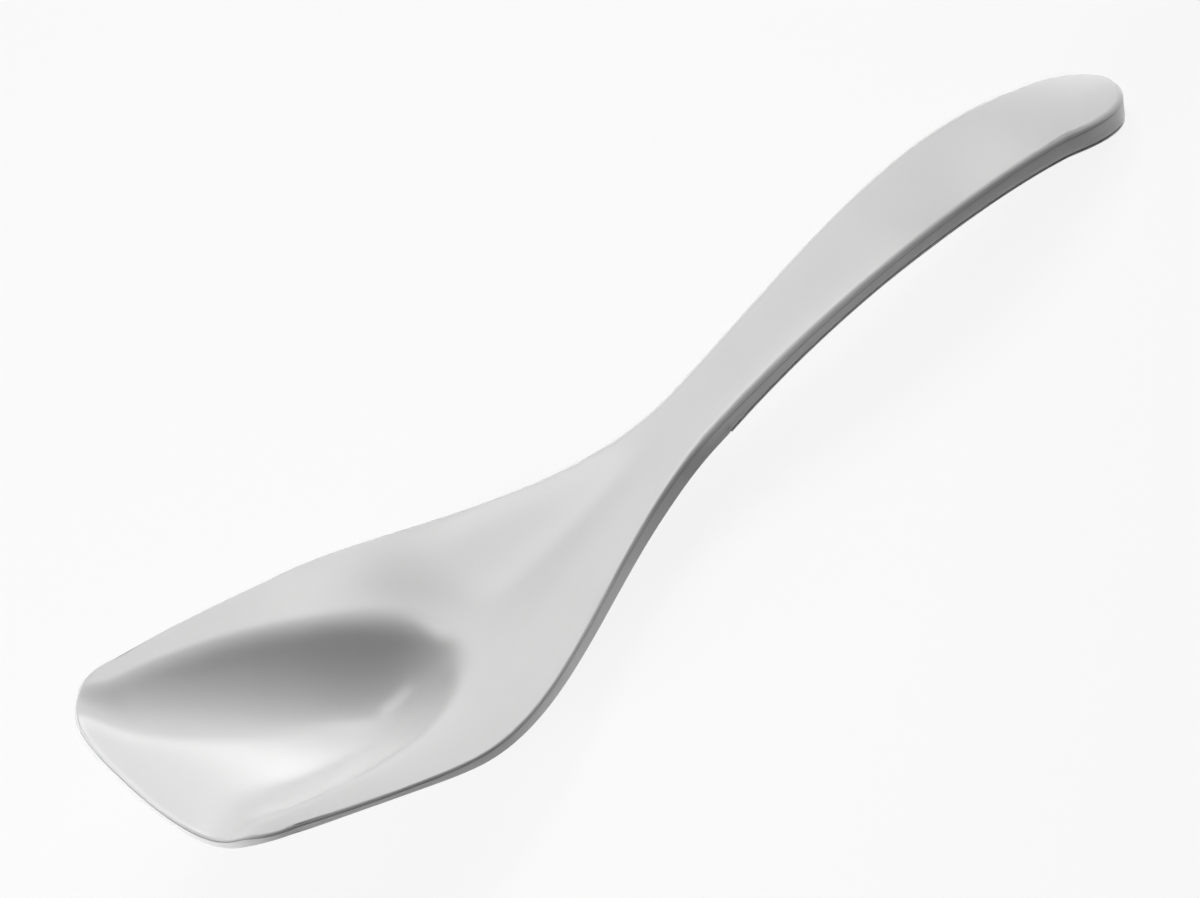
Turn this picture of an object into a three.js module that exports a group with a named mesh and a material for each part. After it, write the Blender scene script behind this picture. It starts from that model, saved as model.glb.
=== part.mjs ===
// A serving spoon in glossy white plastic, in two mouldings.
// The main moulding runs from the lip of the bowl to the end of the handle.
// The handle is hollow below, and a boat-shaped back closes it along a seam on the handle's edge.
//
// Millimetres. The shape is drawn with the rim of the bowl level: x runs from the lip to the handle's end,
// y across and z up. The last step tips it back, as it lies on a table on its bowl and its handle's end.
import * as THREE from 'three';

const { clamp, degToRad, lerp, smoothstep } = THREE.MathUtils;

// Lengths from the lip to the handle's end
const WIDEST_AT = 65; // from the lip to the widest place of the bowl
const FLARE_RUN = 82; // from there to the neck
const GRIP_RUN = 67; // from the neck to the widest place of the handle
const TAPER_RUN = 23; // from there to the start of the rounded end
const END_RUN = 20; // the rounded end
const CORNER_RUN = 22; // how far back the rounded front corners reach

// Widths across the top face
const LIP_WIDTH = 70;
const BOWL_WIDTH = 76.8;
const NECK_WIDTH = 16.4;
const GRIP_WIDTH = 23.2;
const END_WIDTH = 20.4;

// Roundness of the front and of the handle's end: 2 is an ellipse, more is squarer
const FRONT_POWER = 2.5;
const END_POWER = 2.2;
const BEND_POWER = 1.5; // how fast the sections straighten away from the two ends

// Heights of the rim above the lip, and the slope of the top face at the neck
const RIM_LEVEL_TO = 57; // the rim is nearly level as far as here
const RIM_RISE = 1.2;
const NECK_RISE = 36.4;
const NECK_SLOPE = 35; // degrees
const END_RISE = 78.4;
const END_SLOPE = 2.5; // degrees, where the rounded end starts
const END_DROP = 0.4; // how far the rounded end turns down

// The hollow of the bowl: a shallow dish from rim to rim, and a well sunk into it that opens at the lip
const DISH_DEPTH = 5;
const DISH_AT = 90; // where the dish is deepest
const WELL_DEPTH = 13;
const WELL_RAMP = 62; // the floor slopes down from the lip over this length
const RAMP_POWER = 2; // form of that slope: 1 is straight, more is steeper at the lip
const WELL_WIDTH = 53; // between the steepest lines of the well's two side walls
const WELL_LIP_WIDTH = 67; // the same at the lip
const WELL_FROM = 18; // from here back the steepest line is half an ellipse
const WELL_REACH = 63; // length of that half ellipse
const WALL_FOOT = 23; // width of the wall from its steepest line in to the floor, as a round hollow
const WALL_SHOULDER = 6.5; // and out to the dish, as a round shoulder
const UNDER_SHOULDER = 16; // the same on the underside, where the shoulder is softer
const WALL_LEAST = 0.65; // share of these widths that is left at the lip
const HOLLOW_POWER = 2.6; // the wall's hollow: 2 is a parabola, more is flatter toward the floor
const HOLLOW_POWER_LIP = 2.6; // the same at the lip
const CROWN = 0.5; // the handle's top face is this much higher along its middle
const CROWN_RUN = 22; // and the crown grows in over this length on each side of the neck

// Thicknesses
const LIP_THICKNESS = 1.9;
const NECK_THICKNESS = 5.2;
const END_THICKNESS = 7.2; // of the handle with its back
const THICKEN_FROM = 35; // the bowl's wall starts to thicken here
const THICKEN_RUN = 85;

// The hollow handle and its back
const BACK_FROM_NECK = 4; // the back starts this far behind the neck
const BACK_EDGE_MIDDLE = 3; // height of the back's edge below the seam, half-way along
const BACK_EDGE_ENDS = 1.1; // and at its two ends
const BACK_INSET = 1.2; // the back's edge leans in by this much
const BACK_CROWN = 0.5;
const BACK_WALL = 1.8;
const EDGE_LEAN = 0.4; // the moulding's edge leans out by this much down to the seam
const PLATE = 2.2; // the moulding's top plate over the hollow
const SKIRT_WALL = 2; // the moulding's side walls beside the hollow
const HOLLOW_END_WALL = 5; // solid plastic between the hollow and the neck
const HOLLOW_TIP_WALL = 9; // and between the hollow and the handle's end
const TONGUE = 1.2; // width of the back's locating rib
const TONGUE_HEADROOM = 0.5; // room above the rib
const SEAM_GAP = 0.3; // clearance between the two mouldings
const DRAFT = 0.1; // lean of the small upright faces of the joint

// The flats that touch the table
const FLAT_DEPTH = 1.2;

// Fineness of the surface
const BOWL_STEP = 3; // distance between sections along the bowl
const HANDLE_STEP = 6; // and along the handle
const LINES = 10; // lines from the middle to each edge
const WALL_LINE = 7; // the line that follows the inside of the skirt
const SLOPE_STEP = 0.05; // slopes are measured this far to each side
const TANGENT_ROUNDS = 20; // steps in finding the table's line

const neckAt = WIDEST_AT + FLARE_RUN;
const gripAt = neckAt + GRIP_RUN;
const roundAt = gripAt + TAPER_RUN;
const endAt = roundAt + END_RUN;
const backAt = neckAt + BACK_FROM_NECK;
const hollowFrom = backAt + HOLLOW_END_WALL;
const hollowTo = endAt - HOLLOW_TIP_WALL;

// Height on a curve between two points with a slope at each
function hermite(x, x0, z0, slope0, x1, z1, slope1) {
  const run = x1 - x0;
  const t = (x - x0) / run;
  const s = 1 - t;
  const ends = z0 * s * s * (1 + 2 * t) + z1 * t * t * (3 - 2 * t);
  return ends + run * t * s * (slope0 * s - slope1 * t);
}

// Height of the rim and of the handle's edge at x
function rimHeight(x) {
  const rimSlope = RIM_RISE / RIM_LEVEL_TO;
  const neckSlope = Math.tan(degToRad(NECK_SLOPE));
  const endSlope = Math.tan(degToRad(END_SLOPE));
  if (x < RIM_LEVEL_TO) return rimSlope * x;
  if (x < neckAt) return hermite(x, RIM_LEVEL_TO, RIM_RISE, rimSlope, neckAt, NECK_RISE, neckSlope);
  if (x < roundAt) return hermite(x, neckAt, NECK_RISE, neckSlope, roundAt, END_RISE, endSlope);
  return hermite(x, roundAt, END_RISE, endSlope, endAt, END_RISE - END_DROP, -endSlope);
}

// Half the width of the top face at x, without the rounding of the two ends
function halfWidth(x) {
  if (x < WIDEST_AT) {
    const left = (WIDEST_AT - x) / (WIDEST_AT - CORNER_RUN);
    return (BOWL_WIDTH - (BOWL_WIDTH - LIP_WIDTH) * left * left) / 2;
  }
  if (x < neckAt) return lerp(BOWL_WIDTH, NECK_WIDTH, smoothstep(x, WIDEST_AT, neckAt)) / 2;
  if (x < gripAt) return lerp(NECK_WIDTH, GRIP_WIDTH, smoothstep(x, neckAt, gripAt)) / 2;
  const along = (x - gripAt) / TAPER_RUN;
  return lerp(GRIP_WIDTH, END_WIDTH, along * along) / 2;
}

// Falls from 1 to 0 as t goes from 0 to 1: steep at the start, level at the end
function settle(t) {
  const within = clamp(t, 0, 1);
  return 1 - 2 * within + 2 * within ** 3 - within ** 4;
}

// Share of the well's depth at a distance outside the steepest line of its wall
function wallShare(outside, foot, shoulder, power) {
  const below = 1 / (1 + (power * shoulder) / (2 * foot));
  if (outside > 0) return (1 - below) * settle(outside / shoulder);
  return 1 - below * clamp(1 + outside / foot, 0, 1) ** power;
}

// Distance in plan outside the steepest line of the well's wall, less than 0 within the well
function wellDistance(x, y) {
  const towardLip = 1 - smoothstep(x, 0, WELL_FROM);
  const half = lerp(WELL_WIDTH, WELL_LIP_WIDTH, towardLip) / 2;
  const back = Math.max(x - WELL_FROM, 0) / WELL_REACH;
  const side = y / half;
  const out = Math.hypot(back, side);
  if (out === 0) return -half;
  return ((out - 1) * out) / Math.hypot(back / WELL_REACH, side / half);
}

// Depth of the dish and the well below the rim
function hollowDepth(x, y, shoulder) {
  const across = y / halfWidth(x);
  const dish = DISH_DEPTH * smoothstep(x, 0, DISH_AT) * (1 - smoothstep(x, DISH_AT, neckAt));
  const ramp = 1 - clamp(1 - x / WELL_RAMP, 0, 1) ** RAMP_POWER;
  const widen = lerp(WALL_LEAST, 1, ramp);
  const power = lerp(HOLLOW_POWER_LIP, HOLLOW_POWER, ramp);
  const inWell = wallShare(wellDistance(x, y), WALL_FOOT * widen, shoulder * widen, power);
  return dish * (1 - across * across) ** 2 + WELL_DEPTH * ramp * inWell;
}

// Height of the top face without the handle's crown, or of the same face with another shoulder
function baseHeight(x, y, shoulder) {
  return rimHeight(x) - hollowDepth(x, y, shoulder);
}

function crownHeight(x, y) {
  const across = clamp(Math.abs(y) / halfWidth(x), 0, 1);
  return CROWN * smoothstep(x, neckAt - CROWN_RUN, neckAt + CROWN_RUN) * (1 - across * across);
}

// Height straight through a sheet that lies along the base face, for each millimetre of its thickness
function slant(x, y, shoulder) {
  const riseX = baseHeight(x + SLOPE_STEP, y, shoulder) - baseHeight(x - SLOPE_STEP, y, shoulder);
  const riseY = baseHeight(x, y + SLOPE_STEP, shoulder) - baseHeight(x, y - SLOPE_STEP, shoulder);
  return Math.hypot(riseX, riseY, 2 * SLOPE_STEP) / (2 * SLOPE_STEP);
}

// A section starts at x on the middle line and bends with the rounded front or the rounded end
function frontBend(x) {
  return CORNER_RUN * clamp(1 - x / WIDEST_AT, 0, 1) ** BEND_POWER;
}

function endBend(x) {
  const reach = TAPER_RUN + END_RUN;
  return END_RUN * clamp(1 - (endAt - x) / reach, 0, 1) ** BEND_POWER;
}

function roundness(across, power) {
  return 1 - (1 - across ** power) ** (1 / power);
}

// How far out a line lies in the section at x: on the handle it follows the skirt of the hollow
function lineOffset(x, line, half) {
  const rank = Math.abs(line);
  const even = half * Math.sin(((rank / LINES) * Math.PI) / 2);
  const inner = half - SKIRT_WALL;
  const beside = inner + (SKIRT_WALL * (rank - WALL_LINE)) / (LINES - WALL_LINE);
  const within = ((inner - DRAFT) * rank) / (WALL_LINE - 1);
  const fitted = rank >= WALL_LINE ? beside : within;
  const nearHandle = smoothstep(x, WIDEST_AT, neckAt) * (1 - smoothstep(x, hollowTo, endAt));
  return Math.sign(line) * lerp(even, fitted, nearHandle);
}

// Place in plan of one line of the section at x, with the outline moved out by a margin
function planPoint(x, line, margin) {
  const outer = x + frontBend(x) - endBend(x);
  const half = halfWidth(outer);
  const offset = lineOffset(x, line, half);
  const across = clamp(Math.abs(offset) / half, 0, 1);
  const bend = frontBend(x) * roundness(across, FRONT_POWER) - endBend(x) * roundness(across, END_POWER);
  const tipMargin = margin * smoothstep(x, roundAt, endAt);
  return new THREE.Vector2(x + bend + tipMargin, offset * (1 + margin / half));
}

// A point straight below the base face, at a depth that is measured square to the face
function pointBelow(plan, depth, shoulder = WALL_SHOULDER) {
  const height = baseHeight(plan.x, plan.y, shoulder) - depth * slant(plan.x, plan.y, shoulder);
  return new THREE.Vector3(plan.x, plan.y, height);
}

// Thickness of the bowl and the neck, then of the whole handle
function thickness(x) {
  const inBowl = smoothstep(x, THICKEN_FROM, THICKEN_FROM + THICKEN_RUN);
  const inHandle = smoothstep(x, backAt, roundAt);
  return lerp(lerp(LIP_THICKNESS, NECK_THICKNESS, inBowl), END_THICKNESS, inHandle);
}

// Depth of the seam below the handle's edge: the back is deepest half-way along
function seamDepth(x) {
  const along = (2 * (x - backAt)) / (endAt - backAt) - 1;
  return thickness(x) - lerp(BACK_EDGE_MIDDLE, BACK_EDGE_ENDS, along * along);
}

// Even sections between two places
function spread(from, to, step) {
  const count = Math.ceil((to - from) / step);
  return Array.from({ length: count + 1 }, (_, i) => lerp(from, to, i / count));
}

// A closed body between an upper and a lower sheet of points with the same rows and lines
function closedBody(rows, upperPoint, lowerPoint) {
  const lines = 2 * LINES + 1;
  const sheet = rows.length * lines;
  const positions = [];
  for (const pointAt of [upperPoint, lowerPoint]) {
    for (const x of rows) {
      for (let line = -LINES; line <= LINES; line++) positions.push(...pointAt(x, line).toArray());
    }
  }
  const faces = [];
  const quad = (a, b, c, d) => faces.push(a, b, c, a, c, d);
  const wall = (here, there) => quad(here, there, there + sheet, here + sheet);
  const at = (row, line) => row * lines + line;
  const lastRow = rows.length - 1;
  const lastLine = lines - 1;
  for (let row = 0; row < lastRow; row++) {
    for (let line = 0; line < lastLine; line++) {
      const corners = [at(row, line), at(row + 1, line), at(row + 1, line + 1), at(row, line + 1)];
      quad(...corners);
      quad(...corners.map((corner) => corner + sheet).reverse());
    }
    wall(at(row + 1, 0), at(row, 0));
    wall(at(row, lastLine), at(row + 1, lastLine));
  }
  for (let line = 0; line < lastLine; line++) {
    wall(at(0, line), at(0, line + 1));
    wall(at(lastRow, line + 1), at(lastRow, line));
  }
  const geometry = new THREE.BufferGeometry();
  geometry.setAttribute('position', new THREE.Float32BufferAttribute(positions, 3));
  geometry.setIndex(faces);
  return geometry;
}

// The main moulding: bowl, neck and the upper shell of the handle
function spoonBodyGeometry() {
  const rows = [
    ...spread(0, backAt - DRAFT, BOWL_STEP),
    ...spread(backAt, hollowFrom, HANDLE_STEP),
    ...spread(hollowFrom + DRAFT, hollowTo - DRAFT, HANDLE_STEP),
    ...spread(hollowTo, endAt, BOWL_STEP),
  ];
  const upper = (x, line) => {
    const plan = planPoint(x, line, 0);
    const point = pointBelow(plan, 0);
    point.z += crownHeight(plan.x, plan.y);
    return point;
  };
  const lower = (x, line) => {
    const margin = EDGE_LEAN * smoothstep(x, WIDEST_AT, backAt);
    const plan = planPoint(x, line, margin);
    if (x < backAt) return pointBelow(plan, thickness(plan.x), UNDER_SHOULDER);
    const inHollow = x > hollowFrom && x < hollowTo && Math.abs(line) < WALL_LINE;
    return pointBelow(plan, inHollow ? PLATE : seamDepth(plan.x));
  };
  return closedBody(rows, upper, lower);
}

// The back of the handle: a shallow boat with a locating rib that fits inside the skirt
function handleBackGeometry() {
  const start = backAt + SEAM_GAP;
  const ribFrom = hollowFrom + SEAM_GAP + DRAFT;
  const ribTo = hollowTo - SEAM_GAP - DRAFT;
  const rows = [
    ...spread(start, ribFrom, HANDLE_STEP),
    ...spread(ribFrom + DRAFT, ribTo - DRAFT, HANDLE_STEP),
    ...spread(ribTo, endAt, BOWL_STEP),
  ];
  const ribTop = PLATE + TONGUE_HEADROOM;
  const ribLine = WALL_LINE - 1;
  const upper = (x, line) => {
    const rank = Math.abs(line);
    const plan = planPoint(x, line, EDGE_LEAN);
    const land = seamDepth(plan.x) + SEAM_GAP;
    const inHollow = x > ribFrom && x < ribTo;
    if (!inHollow) return pointBelow(plan, land);
    const half = halfWidth(x + frontBend(x) - endBend(x));
    const ribOuter = half - SKIRT_WALL - DRAFT - SEAM_GAP;
    const side = Math.sign(line);
    if (rank === WALL_LINE) plan.y = side * ribOuter;
    if (rank === ribLine) plan.y = side * (ribOuter - DRAFT);
    if (rank === ribLine - 1) plan.y = side * (ribOuter - TONGUE);
    if (rank < ribLine - 1) plan.y = ((ribOuter - TONGUE - DRAFT) * line) / (ribLine - 2);
    if (rank >= WALL_LINE) return pointBelow(plan, land);
    if (rank >= ribLine - 1) return pointBelow(plan, ribTop);
    return pointBelow(plan, Math.max(ribTop, thickness(plan.x) - BACK_WALL));
  };
  const lower = (x, line) => {
    const plan = planPoint(x, line, -BACK_INSET);
    const across = clamp(Math.abs(plan.y) / halfWidth(plan.x), 0, 1);
    return pointBelow(plan, thickness(plan.x) + BACK_CROWN * (1 - across * across));
  };
  return closedBody(rows, upper, lower);
}

// The table's line in side view: it touches the bowl on one side of the neck and the handle on the other
function tableLine(geometries) {
  const points = [];
  for (const geometry of geometries) {
    const position = geometry.getAttribute('position');
    for (let i = 0; i < position.count; i++) {
      points.push(new THREE.Vector3().fromBufferAttribute(position, i));
    }
  }
  const bowl = points.filter((point) => point.x < neckAt);
  const handle = points.filter((point) => point.x >= neckAt);
  let slope = 0;
  let touch = bowl[0];
  const lowest = (list) => list.reduce((a, b) => (b.z - slope * b.x < a.z - slope * a.x ? b : a));
  for (let round = 0; round < TANGENT_ROUNDS; round++) {
    touch = lowest(bowl);
    const end = lowest(handle);
    slope = (end.z - touch.z) / (end.x - touch.x);
  }
  return { slope, height: touch.z - slope * touch.x };
}

// Everything below the table's line, raised by the depth of the flats, is moved square onto it
function cutFlats(geometry, table) {
  const position = geometry.getAttribute('position');
  const square = new THREE.Vector3(-table.slope, 0, 1).normalize();
  const level = table.height * square.z + FLAT_DEPTH;
  const point = new THREE.Vector3();
  for (let i = 0; i < position.count; i++) {
    point.fromBufferAttribute(position, i);
    const below = level - point.dot(square);
    if (below > 0) point.addScaledVector(square, below);
    position.setXYZ(i, ...point.toArray());
  }
  geometry.computeVertexNormals();
}

const bodyGeometry = spoonBodyGeometry();
const backGeometry = handleBackGeometry();
const table = tableLine([bodyGeometry, backGeometry]);
cutFlats(bodyGeometry, table);
cutFlats(backGeometry, table);

const whitePlastic = { color: 0xe6e6e4, roughness: 0.22, metalness: 0 };
const spoonBody = new THREE.Mesh(bodyGeometry, new THREE.MeshStandardMaterial(whitePlastic));
spoonBody.name = 'spoon_body';
const handleBack = new THREE.Mesh(backGeometry, new THREE.MeshStandardMaterial(whitePlastic));
handleBack.name = 'handle_back';

// Tipped back onto the table, with the origin under the middle of the whole
const spoon = new THREE.Group();
spoon.add(spoonBody, handleBack);
spoon.rotation.y = Math.atan(table.slope);
const bounds = new THREE.Box3().setFromObject(spoon, true);
const middle = bounds.getCenter(new THREE.Vector3());
spoon.position.set(-middle.x, -middle.y, -bounds.min.z);

const part = new THREE.Group();
part.add(spoon);
export default part;
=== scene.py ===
import math

import bpy
from mathutils import Matrix, Vector


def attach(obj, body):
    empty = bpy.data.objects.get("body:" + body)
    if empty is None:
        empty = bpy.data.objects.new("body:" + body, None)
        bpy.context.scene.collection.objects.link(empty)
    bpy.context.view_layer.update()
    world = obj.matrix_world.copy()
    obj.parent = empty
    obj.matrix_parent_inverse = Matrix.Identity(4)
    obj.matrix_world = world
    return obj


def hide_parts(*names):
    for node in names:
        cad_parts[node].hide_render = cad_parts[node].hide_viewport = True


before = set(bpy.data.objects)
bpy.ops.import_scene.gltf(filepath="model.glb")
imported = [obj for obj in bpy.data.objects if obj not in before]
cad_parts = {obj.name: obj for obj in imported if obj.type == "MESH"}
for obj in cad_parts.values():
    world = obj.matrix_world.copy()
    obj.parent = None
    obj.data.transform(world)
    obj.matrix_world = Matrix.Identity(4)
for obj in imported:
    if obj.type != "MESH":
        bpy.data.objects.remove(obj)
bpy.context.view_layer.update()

# Camera
# The photograph is close to a parallel view, so the camera stands far off with a long lens.
# It shows the spoon as if held with the rim of its bowl level, although here it lies on the floor.
REST_TILT = math.radians(25.3730)  # on the floor the rim leans back by this much
LIP_MIDDLE = Vector((-0.132509, 0, 0.044853))  # middle of the lip's upper edge
VIEW_SIDE = math.radians(-33.7)
VIEW_HEIGHT = math.radians(37.9)
IMAGE_WIDTH = 0.2567  # metres across the image at the spoon
AIM_RIGHT = 0.10227  # from the middle of the lip to the middle of the image
AIM_UP = 0.07013
LENS = 1200
SENSOR = 36
held = Matrix.Translation(LIP_MIDDLE) @ Matrix.Rotation(REST_TILT, 4, "Y")
turned = Matrix.Rotation(VIEW_SIDE, 4, "Z") @ Matrix.Rotation(math.pi / 2 - VIEW_HEIGHT, 4, "X")
standing_off = Matrix.Translation((AIM_RIGHT, AIM_UP, IMAGE_WIDTH * LENS / SENSOR))
bpy.ops.object.camera_add()
camera = bpy.context.object
camera.name = "photo_camera"
camera.data.lens = LENS
camera.data.sensor_width = SENSOR
camera.matrix_world = held @ turned @ standing_off
bpy.context.scene.camera = camera

# Spoon body
# The main moulding, in glossy white plastic: bowl, neck and the upper shell of the hollow handle.
# Its top face runs from the lip to the handle's end without a joint, and its edges are softly rounded.
MM = 0.001
WIDEST_AT = 65  # lengths run back from the lip, with the rim level
NECK_AT = 147
GRIP_AT = 214  # the handle is widest here
ROUND_AT = 237  # and its rounded end starts here
END_AT = 257
CORNER_RUN = 22  # how far back the rounded front corners reach
LIP_WIDTH = 70
BOWL_WIDTH = 76.8
NECK_WIDTH = 16.4
GRIP_WIDTH = 23.2
END_WIDTH = 20.4
FRONT_POWER = 2.5  # roundness of the two ends: 2 is an ellipse, more is squarer
END_POWER = 2.2
BEND_POWER = 1.5  # how fast the sections straighten away from the two ends
RIM_LEVEL_TO = 57  # the rim is nearly level as far as here
RIM_RISE = 1.2
NECK_RISE = 36.4
NECK_SLOPE = math.tan(math.radians(35))
END_RISE = 78.4
END_SLOPE = math.tan(math.radians(2.5))
END_DROP = 0.4
DISH_DEPTH = 5  # a shallow dish from rim to rim
DISH_AT = 90
WELL_DEPTH = 13  # and a well sunk into it
WELL_RAMP = 62  # its floor slopes down from the lip over this length
RAMP_POWER = 2
WELL_WIDTH = 53  # between the steepest lines of its side walls
WELL_LIP_WIDTH = 67
WELL_FROM = 18  # from here back the steepest line is half an ellipse
WELL_REACH = 63
WALL_FOOT = 23  # width of its wall from the steepest line in to the floor
WALL_SHOULDER = 6.5  # and out to the dish
UNDER_SHOULDER = 16  # the same on the underside, where it is softer
WALL_LEAST = 0.65  # share of these widths that is left at the lip
HOLLOW_POWER = 2.6  # the wall's hollow: 2 is a parabola, more is flatter toward the floor
CROWN = 0.5  # the handle's top face is this much higher along its middle
CROWN_RUN = 22
LIP_THICKNESS = 1.9
NECK_THICKNESS = 5.2
END_THICKNESS = 7.2  # of the handle with its back
THICKEN_FROM = 35
THICKEN_RUN = 85
BACK_AT = 151  # the back starts here
BACK_EDGE_MIDDLE = 3  # height of its edge below the seam, half-way along and at its ends
BACK_EDGE_ENDS = 1.1
EDGE_LEAN = 0.4  # the handle's flank leans out by this much
PLATE = 2.2  # the top plate over the hollow
SKIRT_WALL = 2
HOLLOW_FROM = 156
HOLLOW_TO = 248
DRAFT = 0.1  # lean of the small upright faces of the joint
SLOPE_STEP = 0.05  # slopes are measured this far to each side
EDGE_ROUND = 0.5  # radius of the rounded upper edge round the bowl
HANDLE_ROUND = 1  # and along the handle
FLANK_INSET = 2  # toward the back, the lower edge rounds off by this much to meet it
FLANK_TURN = 20  # over this length
SEAM_ROUND = 0.25  # radius of the lower edge, at the seam and under the bowl
LINES = 40  # lines from the middle to each edge
WALL_LINE = 36  # the line that follows the inside of the skirt
BOWL_STEP = 1.5  # greatest distances between rows of points
NECK_STEP = 1.7
HANDLE_STEP = 2
END_STEP = 0.9
ROUND_STEPS = 3  # steps in each rounded edge
GROOVE_DEPTH = 0.2  # a fine groove runs round the flank, just below the rounded edge, and painted shade darkens its bottom
GROOVE_HEIGHT = 0.3
GROOVE_RING = ROUND_STEPS + 1  # the ring of points at its bottom
FLANK_RING = GROOVE_RING + 2  # the first ring of the lower edge
BODY_RINGS = FLANK_RING + ROUND_STEPS - 1  # rings between the top and the underside
SMOOTH_ANGLE = math.radians(50)


def smoothstep(x, low, high):
    t = min(max((x - low) / (high - low), 0), 1)
    return t * t * (3 - 2 * t)


def lerp(a, b, t):
    return a + (b - a) * t


def curve_between(x, x0, z0, slope0, x1, z1, slope1):
    """Height on a curve between two points with a slope at each."""
    run = x1 - x0
    t = (x - x0) / run
    s = 1 - t
    ends = z0 * s * s * (1 + 2 * t) + z1 * t * t * (3 - 2 * t)
    return ends + run * t * s * (slope0 * s - slope1 * t)


def rim_height(x):
    """Height of the rim and of the handle's edge."""
    rim_slope = RIM_RISE / RIM_LEVEL_TO
    if x < RIM_LEVEL_TO:
        return rim_slope * x
    if x < NECK_AT:
        return curve_between(x, RIM_LEVEL_TO, RIM_RISE, rim_slope, NECK_AT, NECK_RISE, NECK_SLOPE)
    if x < ROUND_AT:
        return curve_between(x, NECK_AT, NECK_RISE, NECK_SLOPE, ROUND_AT, END_RISE, END_SLOPE)
    return curve_between(x, ROUND_AT, END_RISE, END_SLOPE, END_AT, END_RISE - END_DROP, -END_SLOPE)


def half_width(x):
    """Half the width of the top face, without the rounding of the two ends."""
    if x < WIDEST_AT:
        left = (WIDEST_AT - x) / (WIDEST_AT - CORNER_RUN)
        return (BOWL_WIDTH - (BOWL_WIDTH - LIP_WIDTH) * left * left) / 2
    if x < NECK_AT:
        return lerp(BOWL_WIDTH, NECK_WIDTH, smoothstep(x, WIDEST_AT, NECK_AT)) / 2
    if x < GRIP_AT:
        return lerp(NECK_WIDTH, GRIP_WIDTH, smoothstep(x, NECK_AT, GRIP_AT)) / 2
    along = (x - GRIP_AT) / (ROUND_AT - GRIP_AT)
    return lerp(GRIP_WIDTH, END_WIDTH, along * along) / 2


def settle(t):
    """Falls from 1 to 0 with a soft end."""
    t = min(max(t, 0), 1)
    return 1 - 2 * t + 2 * t**3 - t**4


def wall_share(outside, foot, shoulder, power):
    """Share of the well's depth at a distance outside the steepest line of its wall."""
    below = 1 / (1 + power * shoulder / (2 * foot))
    if outside > 0:
        return (1 - below) * settle(outside / shoulder)
    return 1 - below * max(1 + outside / foot, 0) ** power


def well_distance(x, y):
    """About how far a place lies outside the steepest line of the well's wall."""
    toward_lip = 1 - smoothstep(x, 0, WELL_FROM)
    half = lerp(WELL_WIDTH, WELL_LIP_WIDTH, toward_lip) / 2
    back = max(x - WELL_FROM, 0) / WELL_REACH
    side = y / half
    out = math.hypot(back, side)
    if out == 0:
        return -half
    return (out - 1) * out / math.hypot(back / WELL_REACH, side / half)


def base_height(x, y, shoulder):
    """Height of the top face without the handle's crown."""
    across = y / half_width(x)
    dish = DISH_DEPTH * smoothstep(x, 0, DISH_AT) * (1 - smoothstep(x, DISH_AT, NECK_AT))
    ramp = 1 - min(max(1 - x / WELL_RAMP, 0), 1) ** RAMP_POWER
    share = lerp(WALL_LEAST, 1, ramp)
    in_well = wall_share(well_distance(x, y), WALL_FOOT * share, shoulder * share, HOLLOW_POWER)
    return rim_height(x) - dish * (1 - across * across) ** 2 - WELL_DEPTH * ramp * in_well


def crown_height(x, y):
    across = min(abs(y) / half_width(x), 1)
    return CROWN * smoothstep(x, NECK_AT - CROWN_RUN, NECK_AT + CROWN_RUN) * (1 - across * across)


def point_below(x, y, depth, shoulder=WALL_SHOULDER):
    """A point straight below the top face, at a depth that is measured square to the face."""
    rise_x = base_height(x + SLOPE_STEP, y, shoulder) - base_height(x - SLOPE_STEP, y, shoulder)
    rise_y = base_height(x, y + SLOPE_STEP, shoulder) - base_height(x, y - SLOPE_STEP, shoulder)
    slant = Vector((rise_x, rise_y, 2 * SLOPE_STEP)).length / (2 * SLOPE_STEP)
    return Vector((x, y, base_height(x, y, shoulder) - depth * slant))


def front_bend(x):
    """How far the section at x curves back toward its edges."""
    return CORNER_RUN * min(max(1 - x / WIDEST_AT, 0), 1) ** BEND_POWER


def end_bend(x):
    """The same toward the handle's end, where it curves forward."""
    reach = END_AT - GRIP_AT
    run = END_AT - ROUND_AT
    return run * min(max(1 - (END_AT - x) / reach, 0), 1) ** BEND_POWER


def roundness(across, power):
    return 1 - (1 - across**power) ** (1 / power)


def line_offset(x, line, half):
    """How far out a line lies: on the handle it follows the skirt of the hollow."""
    rank = abs(line)
    even = half * math.sin(rank / LINES * math.pi / 2)
    inner = half - SKIRT_WALL
    if rank >= WALL_LINE:
        fitted = inner + SKIRT_WALL * (rank - WALL_LINE) / (LINES - WALL_LINE)
    else:
        fitted = (inner - DRAFT) * rank / (WALL_LINE - 1)
    near_handle = smoothstep(x, WIDEST_AT, NECK_AT) * (1 - smoothstep(x, HOLLOW_TO, END_AT))
    return math.copysign(lerp(even, fitted, near_handle), line)


def plan_point(x, line, margin):
    """Place in plan of one line of the section at x, with the outline moved out by a margin."""
    half = half_width(x + front_bend(x) - end_bend(x))
    offset = line_offset(x, line, half)
    across = min(abs(offset) / half, 1)
    bend = front_bend(x) * roundness(across, FRONT_POWER) - end_bend(x) * roundness(across, END_POWER)
    lip_margin = margin * (1 - smoothstep(x, 0, CORNER_RUN))
    tip_margin = margin * smoothstep(x, ROUND_AT, END_AT)
    return x + bend - lip_margin + tip_margin, offset * (1 + margin / half)


def thickness(x):
    in_bowl = smoothstep(x, THICKEN_FROM, THICKEN_FROM + THICKEN_RUN)
    in_handle = smoothstep(x, BACK_AT, ROUND_AT)
    return lerp(lerp(LIP_THICKNESS, NECK_THICKNESS, in_bowl), END_THICKNESS, in_handle)


def seam_depth(x):
    """Depth of the seam below the handle's edge: the back is deepest half-way along."""
    along = 2 * (x - BACK_AT) / (END_AT - BACK_AT) - 1
    return thickness(x) - lerp(BACK_EDGE_MIDDLE, BACK_EDGE_ENDS, along * along)


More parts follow.
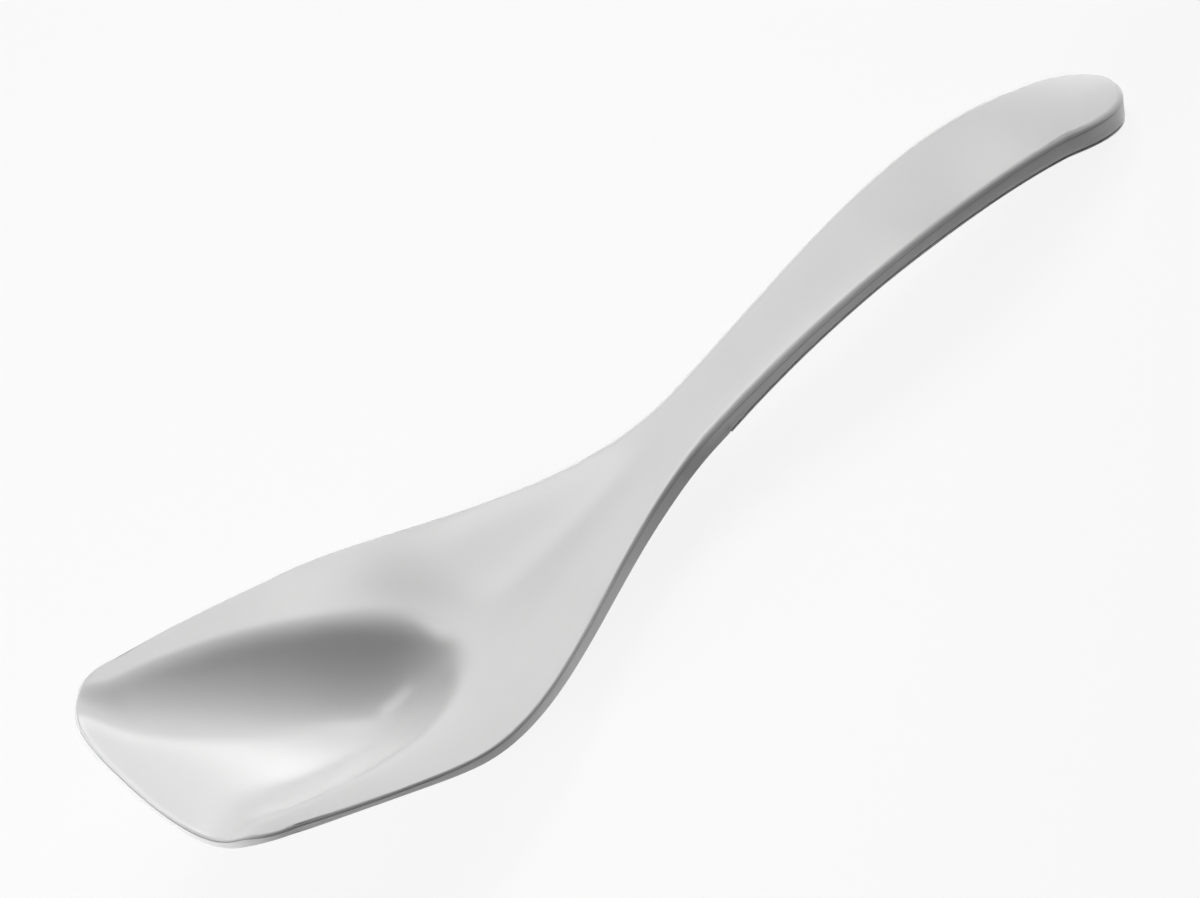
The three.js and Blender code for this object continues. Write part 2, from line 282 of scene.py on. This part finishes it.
def spread(low, high, step):
    """Even places from low to high, no further apart than the step."""
    count = math.ceil((high - low) / step)
    return [lerp(low, high, i / count) for i in range(count + 1)]


def body_point(x, line, ring):
    """A point of the body: ring 0 is the top face, the last the underside, the others go round the edge."""
    lean = EDGE_LEAN * smoothstep(x, WIDEST_AT, BACK_AT)
    upper_round = lerp(EDGE_ROUND, HANDLE_ROUND, smoothstep(x, WIDEST_AT, BACK_AT))
    place_x, place_y = plan_point(x, line, -upper_round)
    if ring == 0:
        point = point_below(place_x, place_y, 0)
        point.z += crown_height(place_x, place_y)
        return point
    lower = thickness(place_x) if x < BACK_AT else seam_depth(place_x)
    if ring <= ROUND_STEPS:
        angle = ring / ROUND_STEPS * math.pi / 2
        margin = upper_round * (math.sin(angle) - 1)
        depth = upper_round * (1 - math.cos(angle))
    elif ring == GROOVE_RING:
        margin = -GROOVE_DEPTH
        depth = upper_round + GROOVE_HEIGHT / 2
    elif ring < FLANK_RING:
        margin = 0
        depth = upper_round + GROOVE_HEIGHT
    else:
        angle = (ring - FLANK_RING) / ROUND_STEPS * math.pi / 2
        drawn_in = smoothstep(x, BACK_AT - FLANK_TURN, BACK_AT) if x < BACK_AT else 0
        margin = lean + lerp(SEAM_ROUND, FLANK_INSET, drawn_in) * (math.cos(angle) - 1)
        depth = lower - lerp(SEAM_ROUND, BACK_EDGE_ENDS, drawn_in) * (1 - math.sin(angle))
    place_x, place_y = plan_point(x, line, margin)
    if ring == BODY_RINGS + 1 and HOLLOW_FROM < x < HOLLOW_TO and abs(line) < WALL_LINE:
        depth = PLATE
    shoulder = UNDER_SHOULDER if ring >= FLANK_RING else WALL_SHOULDER
    return point_below(place_x, place_y, depth, shoulder)


def moulded_sheet(name, rows, rings, point_at):
    """A sheet of rows and lines, extruded to a closed body whose every point is put in place by point_at."""
    bpy.ops.object.select_all(action="DESELECT")
    bpy.ops.mesh.primitive_grid_add(x_subdivisions=len(rows) - 1, y_subdivisions=2 * LINES, size=2)
    piece = bpy.context.object
    piece.name = name
    piece.data.name = name
    for label in ("along", "across", "ring"):
        piece.data.attributes.new(label, "FLOAT", "POINT")
    for vertex in piece.data.vertices:
        row = round((vertex.co.x + 1) / 2 * (len(rows) - 1))
        piece.data.attributes["along"].data[vertex.index].value = rows[row]
        piece.data.attributes["across"].data[vertex.index].value = round(vertex.co.y * LINES)
    bpy.ops.object.mode_set(mode="EDIT")
    bpy.ops.mesh.select_all(action="SELECT")
    bpy.ops.mesh.extrude_region_move(TRANSFORM_OT_translate={"value": (0, 0, -1)})
    bpy.ops.object.mode_set(mode="OBJECT")
    # The sheet's copy lies one unit below it, so half a unit tells the two apart.
    for vertex in piece.data.vertices:
        if vertex.co.z < -0.5:
            piece.data.attributes["ring"].data[vertex.index].value = rings + 1
    bpy.ops.object.mode_set(mode="EDIT")
    bpy.ops.mesh.select_mode(type="EDGE")
    bpy.ops.mesh.select_all(action="DESELECT")
    bpy.ops.object.mode_set(mode="OBJECT")
    for edge in piece.data.edges:
        one, two = (piece.data.vertices[i].co.z for i in edge.vertices)
        edge.select = abs(one - two) > 0.5
    bpy.ops.object.mode_set(mode="EDIT")
    bpy.ops.mesh.subdivide(number_cuts=rings)
    bpy.ops.object.mode_set(mode="OBJECT")
    along = piece.data.attributes["along"].data
    across = piece.data.attributes["across"].data
    ring = piece.data.attributes["ring"].data
    for vertex in piece.data.vertices:
        index = vertex.index
        x, line, level = along[index].value, round(across[index].value), round(ring[index].value)
        vertex.co = held @ (point_at(x, line, level) * MM)
        vertex.co.z = max(vertex.co.z, 0)
    bpy.ops.object.mode_set(mode="EDIT")
    bpy.ops.mesh.select_all(action="SELECT")
    bpy.ops.mesh.normals_make_consistent(inside=False)
    bpy.ops.object.mode_set(mode="OBJECT")
    bpy.ops.object.shade_smooth_by_angle(angle=SMOOTH_ANGLE)
    return piece


body_rows = spread(0, BACK_AT - DRAFT, BOWL_STEP)
body_rows += spread(BACK_AT, HOLLOW_FROM, NECK_STEP)
body_rows += spread(HOLLOW_FROM + DRAFT, HOLLOW_TO - DRAFT, HANDLE_STEP)
body_rows += spread(HOLLOW_TO, END_AT, END_STEP)
spoon_body = moulded_sheet("spoon_body_moulding", body_rows, BODY_RINGS, body_point)
# Painted shade: the ring at the bottom of the groove is marked, so the material can paint it darker as if
# shade fell in it.
painted_shade_mask = spoon_body.data.attributes.new("painted_shade_mask", "FLOAT", "POINT")
body_ring = spoon_body.data.attributes["ring"].data
for vertex in spoon_body.data.vertices:
    painted_shade_mask.data[vertex.index].value = float(round(body_ring[vertex.index].value) == GROOVE_RING)

PLASTIC_IOR = 1.5
PLASTIC_DARKER = (0.6, 0.6, 0.6, 1)  # the white varies very slightly
PLASTIC_LIGHTER = (0.61, 0.61, 0.61, 1)
PAINTED_GROOVE_SHADE = (0.45, 0.45, 0.45, 1)  # painted shade: the bottom of the groove is painted this much of the plastic's colour, as if shade fell there
CLOUD_SCALE = 45
CLOUD_DETAIL = 3
CLOUD_LOW = 0.35
CLOUD_HIGH = 0.65
GLOSSIEST = 0.21  # its roughness varies between these
DULLEST = 0.24
WHITE = (1, 1, 1, 1)
white_plastic = bpy.data.materials.new("white_plastic")
white_plastic.use_nodes = True
nodes = white_plastic.node_tree.nodes
links = white_plastic.node_tree.links
shader = nodes["Principled BSDF"]
shader.inputs["IOR"].default_value = PLASTIC_IOR
place = nodes.new("ShaderNodeTexCoord")
cloud = nodes.new("ShaderNodeTexNoise")
cloud.inputs["Scale"].default_value = CLOUD_SCALE
cloud.inputs["Detail"].default_value = CLOUD_DETAIL
tint = nodes.new("ShaderNodeValToRGB")
tint.color_ramp.elements[0].position = CLOUD_LOW
tint.color_ramp.elements[0].color = PLASTIC_DARKER
tint.color_ramp.elements[1].position = CLOUD_HIGH
tint.color_ramp.elements[1].color = PLASTIC_LIGHTER
polish = nodes.new("ShaderNodeMapRange")
polish.inputs["To Min"].default_value = GLOSSIEST
polish.inputs["To Max"].default_value = DULLEST
links.new(place.outputs["Object"], cloud.inputs["Vector"])
links.new(cloud.outputs["Fac"], tint.inputs["Fac"])
# Painted shade: the plastic's colour is multiplied darker along the groove's bottom ring.
painted_shade_attribute = nodes.new("ShaderNodeAttribute")
painted_shade_attribute.attribute_name = "painted_shade_mask"
painted_shade_colour = nodes.new("ShaderNodeValToRGB")
painted_shade_colour.color_ramp.elements[0].color = WHITE
painted_shade_colour.color_ramp.elements[1].color = PAINTED_GROOVE_SHADE
shaded = nodes.new("ShaderNodeMix")
shaded.data_type = "RGBA"
shaded.blend_type = "MULTIPLY"
shaded.inputs["Factor"].default_value = 1
links.new(painted_shade_attribute.outputs["Fac"], painted_shade_colour.inputs["Fac"])
first_colour, second_colour, mixed_colour = shaded.inputs[6], shaded.inputs[7], shaded.outputs[2]
links.new(tint.outputs["Color"], first_colour)
links.new(painted_shade_colour.outputs["Color"], second_colour)
links.new(mixed_colour, shader.inputs["Base Color"])
links.new(cloud.outputs["Fac"], polish.inputs["Value"])
links.new(polish.outputs["Result"], shader.inputs["Roughness"])
spoon_body.data.materials.append(white_plastic)
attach(spoon_body, "root")
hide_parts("spoon_body")

# Handle back
# The second moulding, of the same plastic: a shallow boat that closes the hollow handle from below.
# Its rib sits inside the skirt of the body, and it is bonded along the seam on the handle's edge.
BACK_INSET = 1.2  # its edge leans in by this much
BACK_CROWN = 0.5
BACK_WALL = 1.8
BACK_ROUND = 0.9  # radius of its lower edge
BACK_RINGS = 2 * ROUND_STEPS
TONGUE = 1.2  # width of its rib
TONGUE_HEADROOM = 0.5  # room above the rib
SEAM_GAP = 0.3  # clearance between the two mouldings
rib_from = HOLLOW_FROM + SEAM_GAP + DRAFT
rib_to = HOLLOW_TO - SEAM_GAP - DRAFT


def back_point(x, line, ring):
    """A point of the back: ring 0 is its upper side with the rib, the last ring its underside."""
    rank = abs(line)
    if ring == 0:
        place_x, place_y = plan_point(x, line, EDGE_LEAN - SEAM_ROUND)
        land = seam_depth(place_x) + SEAM_GAP
        if not rib_from < x < rib_to:
            return point_below(place_x, place_y, land)
        half = half_width(x + front_bend(x) - end_bend(x))
        rib_outer = half - SKIRT_WALL - DRAFT - SEAM_GAP
        rib_line = WALL_LINE - 1
        if rank == WALL_LINE:
            place_y = math.copysign(rib_outer, line)
        if rank == rib_line:
            place_y = math.copysign(rib_outer - DRAFT, line)
        if rank == rib_line - 1:
            place_y = math.copysign(rib_outer - TONGUE, line)
        if rank < rib_line - 1:
            place_y = (rib_outer - TONGUE - DRAFT) * line / (rib_line - 2)
        if rank >= WALL_LINE:
            return point_below(place_x, place_y, land)
        rib_top = PLATE + TONGUE_HEADROOM
        if rank >= rib_line - 1:
            return point_below(place_x, place_y, rib_top)
        return point_below(place_x, place_y, max(rib_top, thickness(place_x) - BACK_WALL))
    if ring <= ROUND_STEPS:
        angle = ring / ROUND_STEPS * math.pi / 2
        margin = EDGE_LEAN + SEAM_ROUND * (math.sin(angle) - 1)
        place_x, place_y = plan_point(x, line, margin)
        upper = seam_depth(place_x) + SEAM_GAP
        return point_below(place_x, place_y, upper + SEAM_ROUND * (1 - math.cos(angle)))
    angle = (ring - ROUND_STEPS - 1) / ROUND_STEPS * math.pi / 2
    margin = -BACK_INSET + BACK_ROUND * (math.cos(angle) - 1)
    place_x, place_y = plan_point(x, line, margin)
    lower = thickness(place_x) - BACK_ROUND * (1 - math.sin(angle))
    if ring == BACK_RINGS + 1:
        across = min(abs(place_y) / half_width(place_x), 1)
        lower += BACK_CROWN * (1 - across * across)
    return point_below(place_x, place_y, lower)


back_rows = spread(BACK_AT + SEAM_GAP, rib_from, NECK_STEP)
back_rows += spread(rib_from + DRAFT, rib_to - DRAFT, HANDLE_STEP)
back_rows += spread(rib_to, END_AT, END_STEP)
handle_back = moulded_sheet("handle_back_moulding", back_rows, BACK_RINGS, back_point)
handle_back.data.materials.append(white_plastic)
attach(handle_back, "root")
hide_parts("handle_back")

# Floor
# A plain pale sheet that the spoon lies on. It shows white to the camera and keeps the spoon's shadow.
FLOOR_SIZE = 8
PAPER = (0.6, 0.6, 0.6, 1)
GLOW_SHARE = 0.88  # the rest is lit paper, which takes the shadow


def seen_rays(tree):
    """An output that is 1 for what the camera sees, straight on, mirrored or through, and 0 for light."""
    rays = tree.nodes.new("ShaderNodeLightPath")
    seen = tree.nodes.new("ShaderNodeMath")
    seen.operation = "MAXIMUM"
    seen_at_all = tree.nodes.new("ShaderNodeMath")
    seen_at_all.operation = "MAXIMUM"
    tree.links.new(rays.outputs["Is Camera Ray"], seen.inputs[0])
    tree.links.new(rays.outputs["Is Glossy Ray"], seen.inputs[1])
    tree.links.new(seen.outputs["Value"], seen_at_all.inputs[0])
    tree.links.new(rays.outputs["Is Transmission Ray"], seen_at_all.inputs[1])
    return seen_at_all.outputs["Value"]


bpy.ops.object.select_all(action="DESELECT")
bpy.ops.mesh.primitive_plane_add(size=FLOOR_SIZE)
floor = bpy.context.object
floor.name = "floor"
floor_paper = bpy.data.materials.new("floor_paper")
floor_paper.use_nodes = True
nodes = floor_paper.node_tree.nodes
links = floor_paper.node_tree.links
nodes.clear()
output = nodes.new("ShaderNodeOutputMaterial")
paper = nodes.new("ShaderNodeBsdfDiffuse")
paper.inputs["Color"].default_value = PAPER
glow = nodes.new("ShaderNodeEmission")
glow.inputs["Color"].default_value = WHITE
glow.inputs["Strength"].default_value = 1
share = nodes.new("ShaderNodeMath")
share.operation = "MULTIPLY"
share.inputs[1].default_value = GLOW_SHARE
mix = nodes.new("ShaderNodeMixShader")
links.new(seen_rays(floor_paper.node_tree), share.inputs[0])
links.new(share.outputs["Value"], mix.inputs["Fac"])
links.new(paper.outputs["BSDF"], mix.inputs[1])
links.new(glow.outputs["Emission"], mix.inputs[2])
links.new(mix.outputs["Shader"], output.inputs["Surface"])
floor.data.materials.append(floor_paper)

# Light
# Three soft lamps: one beyond the far side, one beyond the handle and a low one that faces the lip.
# Three windows are only mirrored: in the flare, the far flange and the floor of the well.
# The camera's side stays dim.
LAMPS_FACE = Vector((-0.07, 0, 0.02))  # a place in the bowl
ROOM_LIGHT = 0.02  # strength of the white room as light
ROOM_SHOWN = 1  # and as it is seen


def strip_lamp(name, side, rise, distance, width, height, power, cone=180, mirrored=False):
    """A soft lamp that faces the bowl, with its place given by angles in degrees from the level rim.

    A mirrored one shows in the gloss alone, and the others light the plastic but don't show in it.
    """
    lamp = bpy.data.lights.new(name, "AREA")
    lamp.shape = "RECTANGLE"
    lamp.size = width
    lamp.size_y = height
    lamp.energy = power
    lamp.spread = math.radians(cone)
    holder = bpy.data.objects.new(name, lamp)
    bpy.context.scene.collection.objects.link(holder)
    turn, up = math.radians(side), math.radians(rise)
    direction = Vector((math.cos(turn) * math.cos(up), math.sin(turn) * math.cos(up), math.sin(up)))
    toward = (held.to_3x3() @ direction).normalized()
    holder.location = LAMPS_FACE + toward * distance
    holder.rotation_euler = toward.to_track_quat("Z", "Y").to_euler()
    holder.visible_glossy = mirrored
    holder.visible_diffuse = not mirrored


strip_lamp("far_side_lamp", side=90, rise=52, distance=0.8, width=0.4, height=0.4, power=0.48, cone=45)
strip_lamp("handle_side_lamp", side=20, rise=42, distance=1.4, width=0.6, height=0.6, power=13)
strip_lamp("lip_side_lamp", side=180, rise=-6, distance=0.8, width=0.4, height=0.2, power=7)
strip_lamp(
    "flare_window", side=138, rise=57, distance=0.8, width=0.45, height=0.35, power=1.7, mirrored=True
)
strip_lamp(
    "flange_window", side=56, rise=60, distance=0.8, width=0.3, height=0.3, power=0.6, mirrored=True
)
strip_lamp(
    "floor_window", side=46, rise=24, distance=0.8, width=0.25, height=0.25, power=0.018,
    cone=26, mirrored=True,
)

world = bpy.data.worlds.new("studio")
bpy.context.scene.world = world
world.use_nodes = True
nodes = world.node_tree.nodes
links = world.node_tree.links
sky = nodes["Background"]
sky.inputs["Color"].default_value = WHITE
level = nodes.new("ShaderNodeMapRange")
level.inputs["To Min"].default_value = ROOM_LIGHT
level.inputs["To Max"].default_value = ROOM_SHOWN
links.new(seen_rays(world.node_tree), level.inputs["Value"])
links.new(level.outputs["Result"], sky.inputs["Strength"])

bpy.context.scene.view_settings.view_transform = "Standard"
